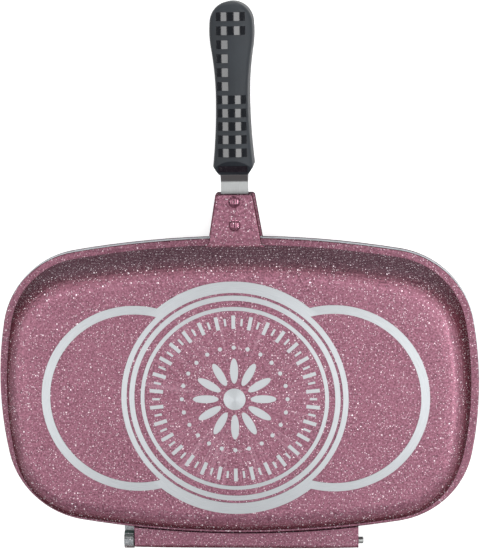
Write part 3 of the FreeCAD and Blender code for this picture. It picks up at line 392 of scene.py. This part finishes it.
# The rivets are aluminium, headed before the coat is sprayed, so they take the same pink
# with its flecks. Their heads are domes on the lugs.
RIVET_FLECKS = (620.0, 0.34, 0.10, 0.36)
RIVET_ROUGHNESS = (0.14, 0.24)
RIVET_METALLIC = 0.6
RIVET_RELIEF = (0.5, 0.00008)
rivet_coat, shader = new_finish("coated_rivet")
places, stirred = coated_places(rivet_coat)
mottle = noise(rivet_coat, places, *MOTTLE)
pink = blend_colours(rivet_coat, spread(rivet_coat, mottle, *USUAL_RANGE), PINK_DEEP, PINK_LIGHT)
speck = flecks(rivet_coat, stirred, *RIVET_FLECKS)
feed(rivet_coat, shader, {
    "Base Color": blend_colours(rivet_coat, speck, pink, FLECK_WHITE),
    "Roughness": spread(rivet_coat, mottle, *USUAL_RANGE, *RIVET_ROUGHNESS),
    "Metallic": RIVET_METALLIC,
})
relieve(rivet_coat, shader, mottle, *RIVET_RELIEF)
dress(rivet_coat, "deep_rivets", "shallow_rivets")


# The seal is a ring of grey silicone, pressed into the groove of the shallow half's rim.
# It is satin, with a faint bloom of dust.
SILICONE_LIGHT = (0.105, 0.105, 0.108, 1)
SILICONE_DEEP = (0.070, 0.070, 0.073, 1)
SILICONE_ROUGHNESS = (0.42, 0.60)
SILICONE_SHEEN = 0.15
SILICONE_RELIEF = (0.25, 0.0002)
BLOOM = (140.0, 5.0)
BLOOM_RANGE = (0.35, 0.65)
silicone, shader = new_finish("silicone")
bloom = noise(silicone, object_places(silicone), *BLOOM)
share = spread(silicone, bloom, *BLOOM_RANGE)
feed(silicone, shader, {
    "Base Color": blend_colours(silicone, share, SILICONE_DEEP, SILICONE_LIGHT),
    "Roughness": spread(silicone, bloom, *USUAL_RANGE, *SILICONE_ROUGHNESS),
    "Sheen Weight": SILICONE_SHEEN,
})
relieve(silicone, shader, bloom, *SILICONE_RELIEF)
dress(silicone, "seal")


# The hinge pin is drawn steel rod with sawn and chamfered ends. It sits in the ears of the
# shallow half, and its right end stands out of the barrel.
SCRATCHES = (1.0, 6.0, 0.75)
STAINS = (90.0, 3.0)
STAIN_RANGE = (0.45, 0.75)
STAIN_SHARE = 0.35
STEEL_RELIEF = (0.3, 0.00005)


def brushed_steel(name, light, deep, stretch, roughness):
    """Steel with fine scratches along one axis, which is the one with the small stretch."""
    finish, shader = new_finish(name)
    places = object_places(finish)
    drawn_out = lay(finish, "ShaderNodeMapping", {"Vector": places, "Scale": stretch}).outputs[0]
    scratches = noise(finish, drawn_out, *SCRATCHES)
    colour = blend_colours(finish, spread(finish, scratches, *USUAL_RANGE), deep, light)
    stains = spread(finish, noise(finish, places, *STAINS), *STAIN_RANGE, 0.0, STAIN_SHARE)
    feed(finish, shader, {
        "Base Color": blend_colours(finish, stains, colour, deep),
        "Metallic": 1.0,
        "Roughness": spread(finish, scratches, *USUAL_RANGE, *roughness),
    })
    relieve(finish, shader, scratches, *STEEL_RELIEF)
    return finish


pin_steel = brushed_steel(
    "pin_steel", light=(0.50, 0.51, 0.50, 1), deep=(0.30, 0.31, 0.31, 1),
    stretch=(60.0, 2600.0, 2600.0), roughness=(0.28, 0.46),
)
dress(pin_steel, "hinge_pin")


# The tangs are stainless strip, blanked and stepped in a press and brushed lengthwise.
# They run from the lugs, where the rivets hold them, into the grips.
tang_steel = brushed_steel(
    "tang_steel", light=(0.44, 0.45, 0.45, 1), deep=(0.33, 0.34, 0.34, 1),
    stretch=(2600.0, 70.0, 2600.0), roughness=(0.38, 0.50),
)
dress(tang_steel, "deep_tang", "shallow_tang")


# The grips are moulded in black bakelite, each half a handle. The body has a fine spark
# texture, and the raised pads across the crown are polished.
CROWN_DROP = 0.0055
POLISHED_REACH = 0.02812
SLOPE_FOOT = (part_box("deep_grip")[0][1], 0.0135)
SLOPE_NORMAL = (-0.6, 0.8)
SLOPE_PAD = 0.00014
BAKELITE_BODY = (0.0095, 0.0125, 0.0165, 1)
BAKELITE_WORN = (0.0170, 0.0215, 0.0270, 1)
BAKELITE_POLISHED = (0.0060, 0.0070, 0.0095, 1)
BODY_ROUGHNESS = (0.50, 0.62)
POLISHED_ROUGHNESS = 0.09
BODY_SPECULAR = 0.35
POLISHED_SPECULAR = 1.0
HANDLING = (46.0, 4.0)
HANDLING_RANGE = (0.35, 0.7)
SPARK = (2400.0, 2.0)
SPARK_RELIEF = (0.45, 0.00009)
bakelite, shader = new_finish("bakelite")
places = object_places(bakelite)
x, y, z = lay(bakelite, "ShaderNodeSeparateXYZ", {0: places}).outputs
height = reckon(bakelite, "ABSOLUTE", reckon(bakelite, "SUBTRACT", z, PARTING_HEIGHT))
above_axis = reckon(bakelite, "ADD", height, CROWN_DROP)
from_crown_axis = distance(
    bakelite, lay(bakelite, "ShaderNodeCombineXYZ", {0: x, 1: above_axis}).outputs[0]
)
past_foot = reckon(bakelite, "SUBTRACT", y, SLOPE_FOOT[0])
over_foot = reckon(bakelite, "SUBTRACT", height, SLOPE_FOOT[1])
out_of_slope = reckon(
    bakelite, "ADD",
    product(bakelite, past_foot, SLOPE_NORMAL[0]), product(bakelite, over_foot, SLOPE_NORMAL[1]),
)
polished = reckon(
    bakelite, "MAXIMUM",
    reckon(bakelite, "GREATER_THAN", from_crown_axis, POLISHED_REACH),
    reckon(bakelite, "GREATER_THAN", out_of_slope, SLOPE_PAD),
)
handled = noise(bakelite, places, *HANDLING)
worn = spread(bakelite, handled, *HANDLING_RANGE)
body = blend_colours(bakelite, worn, BAKELITE_BODY, BAKELITE_WORN)
body_rough = spread(bakelite, handled, *USUAL_RANGE, *BODY_ROUGHNESS)
feed(bakelite, shader, {
    "Base Color": blend_colours(bakelite, polished, body, BAKELITE_POLISHED),
    "Roughness": blend_values(bakelite, polished, body_rough, POLISHED_ROUGHNESS),
    "Specular IOR Level": blend_values(bakelite, polished, BODY_SPECULAR, POLISHED_SPECULAR),
})
spark = noise(bakelite, places, *SPARK)
grain = product(bakelite, spark, reckon(bakelite, "SUBTRACT", 1.0, polished))
relieve(bakelite, shader, grain, *SPARK_RELIEF)
dress(bakelite, "deep_grip", "shallow_grip")


# Inside the handle, a zinc-plated screw holds each grip to its tang, and a nickel-plated
# magnet near the end pulls the two halves of the handle together.
screw_zinc = brushed_steel(
    "screw_zinc", light=(0.58, 0.59, 0.60, 1), deep=(0.42, 0.43, 0.44, 1),
    stretch=(900.0, 900.0, 900.0), roughness=(0.26, 0.42),
)
dress(screw_zinc, "deep_grip_screw", "shallow_grip_screw")
magnet_nickel = brushed_steel(
    "magnet_nickel", light=(0.70, 0.69, 0.66, 1), deep=(0.56, 0.55, 0.53, 1),
    stretch=(300.0, 300.0, 300.0), roughness=(0.14, 0.26),
)
dress(magnet_nickel, "deep_magnet", "shallow_magnet")


# A scale of bars and dots and a rosette are turned bare on the deep half's base, inside the
# rings. They are lands of the casting like the rings, with the coat cut away from their tops.
MARK_FOOT = PAN_HEIGHT - 0.0006
MARK_TOP = PAN_HEIGHT - 0.0001
MARK_EASE = 0.00012
MARK_RELIEF = (0.3, 0.00004)
BAR_RING = 0.0640
BAR_SIZES = ((0.0030, 0.0110), (0.0018, 0.0060))
BAR_COUNT = 60
PETAL_COUNT = 12
PETAL_MIDDLE = 0.0235
PETAL_SIZE = (0.0066, 0.0210)
DOT_RING = 0.0430
DOT_SIZE = (0.0034, 0.0034)
SIDES = {"bar": 4, "petal": 28, "dot": 16}


def mark_finish():
    """Turned aluminium, its marks running round the middle of the base."""
    finish, shader = new_finish("bare_marks")
    x, y, z = lay(finish, "ShaderNodeSeparateXYZ", {0: object_places(finish)}).outputs
    out = reckon(finish, "SUBTRACT", y, RING_FORWARD)
    reach = distance(finish, lay(finish, "ShaderNodeCombineXYZ", {0: x, 1: out}).outputs[0])
    along = lay(finish, "ShaderNodeCombineXYZ", {0: reach}).outputs[0]
    turning = noise(finish, along, *TURNING)
    share = spread(finish, turning, *USUAL_RANGE)
    feed(finish, shader, {
        "Base Color": blend_colours(finish, share, BARE_ALUMINIUM, TURNED_DEEP),
        "Metallic": 1.0,
        "Roughness": spread(finish, turning, *USUAL_RANGE, *TURNED_ROUGHNESS),
    })
    relieve(finish, shader, turning, *MARK_RELIEF)
    return finish


def raise_mark(form, out, width, length):
    """One flat mark, drawn as a disc of so many sides, stretched, raised and eased."""
    bpy.ops.object.select_all(action="DESELECT")
    bpy.ops.mesh.primitive_circle_add(
        vertices=SIDES[form], radius=0.5, fill_type="NGON", location=(0, out, MARK_FOOT),
        rotation=(0, 0, math.pi / 4 if form == "bar" else 0),
    )
    mark = bpy.context.object
    bpy.ops.object.transform_apply(location=False, rotation=True, scale=True)
    widest = max(v.co.x for v in mark.data.vertices) * 2
    longest = max(v.co.y for v in mark.data.vertices) * 2
    mark.scale = (width / widest, length / longest, 1)
    bpy.ops.object.transform_apply(location=True, rotation=True, scale=True)
    bpy.ops.object.mode_set(mode="EDIT")
    bpy.ops.mesh.select_all(action="SELECT")
    lift = (0, 0, MARK_TOP - MARK_FOOT)
    bpy.ops.mesh.extrude_region_move(TRANSFORM_OT_translate={"value": lift})
    bpy.ops.mesh.select_all(action="SELECT")
    bpy.ops.mesh.normals_make_consistent(inside=False)
    bpy.ops.object.mode_set(mode="OBJECT")
    ease = mark.modifiers.new("ease", "BEVEL")
    ease.width = MARK_EASE
    ease.segments = 2
    ease.limit_method = "ANGLE"
    bpy.ops.object.modifier_apply(modifier="ease")
    return mark


def copies_round(mark, count, first_turn=0.0):
    """The mark and its copies, each with its own mesh, evenly spaced round the middle."""
    made = [mark]
    for place in range(1, count):
        copy = mark.copy()
        copy.data = mark.data.copy()
        bpy.context.collection.objects.link(copy)
        copy.data.transform(Matrix.Rotation(math.tau * place / count, 4, "Z"))
        made.append(copy)
    for item in made:
        item.data.transform(Matrix.Rotation(first_turn, 4, "Z"))
    return made


marks = []
marks += copies_round(raise_mark("bar", BAR_RING, *BAR_SIZES[0]), BAR_COUNT // 2)
short_bars = raise_mark("bar", BAR_RING, *BAR_SIZES[1])
marks += copies_round(short_bars, BAR_COUNT // 2, math.tau / BAR_COUNT)
marks += copies_round(raise_mark("petal", PETAL_MIDDLE, *PETAL_SIZE), PETAL_COUNT)
marks += copies_round(raise_mark("dot", DOT_RING, *DOT_SIZE), PETAL_COUNT * 2)
bpy.ops.object.select_all(action="DESELECT")
for mark in marks:
    mark.select_set(True)
bpy.context.view_layer.objects.active = marks[0]
bpy.ops.object.join()
base_marks = bpy.context.object
base_marks.name = "base_marks"
base_marks.data.transform(Matrix.Translation((0, RING_FORWARD, 0)))
base_marks.data.materials.clear()
base_marks.data.materials.append(mark_finish())
bpy.ops.object.shade_flat()
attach(base_marks, "deep_half")


# The studio: a pale table, two long softboxes over it, a low lamp at each side and another
# beyond the handle, and the camera over the handle end, where the photograph was taken.
TABLE_SIZE = 80.0
TABLE_DROP = 0.0002
TABLE_PALE = (0.55, 0.55, 0.55, 1)
TABLE_DULL = (0.10, 0.10, 0.10, 1)
TABLE_GLOW = 0.68
TABLE_ROUGHNESS = 0.9
ROOM_STRENGTH = 0.10
LOW_BACK_TURN = (-1.40, 0, 0)
CAMERA_SPOT = Vector((0.0824, 0.3406, 1.3308))
CAMERA_RIGHT = Vector((0.9982, -0.0157, -0.0577))
CAMERA_UP = Vector((0.0048, 0.9827, -0.1851))
CAMERA_BACK = Vector((0.0596, 0.1845, 0.9810))
CAMERA_LENS = 104.87

bpy.ops.object.select_all(action="DESELECT")
bpy.ops.mesh.primitive_plane_add(size=TABLE_SIZE, location=(0, 0, -TABLE_DROP))
table_top = bpy.context.object
table_top.name = "table_top"
bpy.ops.object.transform_apply(location=True, rotation=True, scale=True)
table_paint, shader = new_finish("table_paint")
rays_seen = lay(table_paint, "ShaderNodeLightPath", {}).outputs
seen = reckon(
    table_paint, "MAXIMUM",
    reckon(table_paint, "MAXIMUM", rays_seen["Is Camera Ray"], rays_seen["Is Transmission Ray"]),
    rays_seen["Is Glossy Ray"],
)
feed(table_paint, shader, {
    "Base Color": blend_colours(table_paint, seen, TABLE_DULL, TABLE_PALE),
    "Roughness": TABLE_ROUGHNESS,
    "Specular IOR Level": 0.0,
    "Emission Color": (1, 1, 1, 1),
    "Emission Strength": product(table_paint, seen, TABLE_GLOW),
})
table_top.data.materials.append(table_paint)

room = bpy.data.worlds.new("room")
bpy.context.scene.world = room
room.use_nodes = True
backdrop = room.node_tree.nodes["Background"]
backdrop.inputs["Color"].default_value = (1, 1, 1, 1)
backdrop.inputs["Strength"].default_value = ROOM_STRENGTH


def softbox(name, spot, width, length, power):
    """A rectangular lamp over the table, long in Y and leant over towards the pan."""
    lean = math.atan2(spot[0], spot[2])
    bpy.ops.object.light_add(type="AREA", location=spot, rotation=(0, lean, 0))
    lamp = bpy.context.object
    lamp.name = name
    lamp.data.shape = "RECTANGLE"
    lamp.data.size = width
    lamp.data.size_y = length
    lamp.data.energy = power
    return lamp


# Each lamp's place and size in metres, and its power in watts
softbox("softbox_right", (0.66, 0.40, 2.2), 0.72, 3.6, 30.5)
softbox("softbox_left", (-0.98, 0.40, 2.1), 0.74, 3.6, 26.5)
softbox("low_left", (-1.7, 0.1, 1.15), 0.40, 2.2, 14.0)
softbox("low_right", (1.55, 0.1, 1.30), 0.40, 2.2, 32.0)
low_back = softbox("low_back", (0.0, 2.2, 0.42), 2.6, 0.40, 36.0)
low_back.rotation_euler = LOW_BACK_TURN

bpy.ops.object.camera_add(location=CAMERA_SPOT)
camera = bpy.context.object
camera.name = "camera"
turn = Matrix((CAMERA_RIGHT, CAMERA_UP, CAMERA_BACK)).transposed().to_4x4()
camera.matrix_world = Matrix.Translation(CAMERA_SPOT) @ turn
camera.data.sensor_width = 36.0
camera.data.lens = CAMERA_LENS
camera.data.clip_start = 0.05
camera.data.clip_end = 50.0
camera.data.dof.use_dof = False
bpy.context.scene.camera = camera
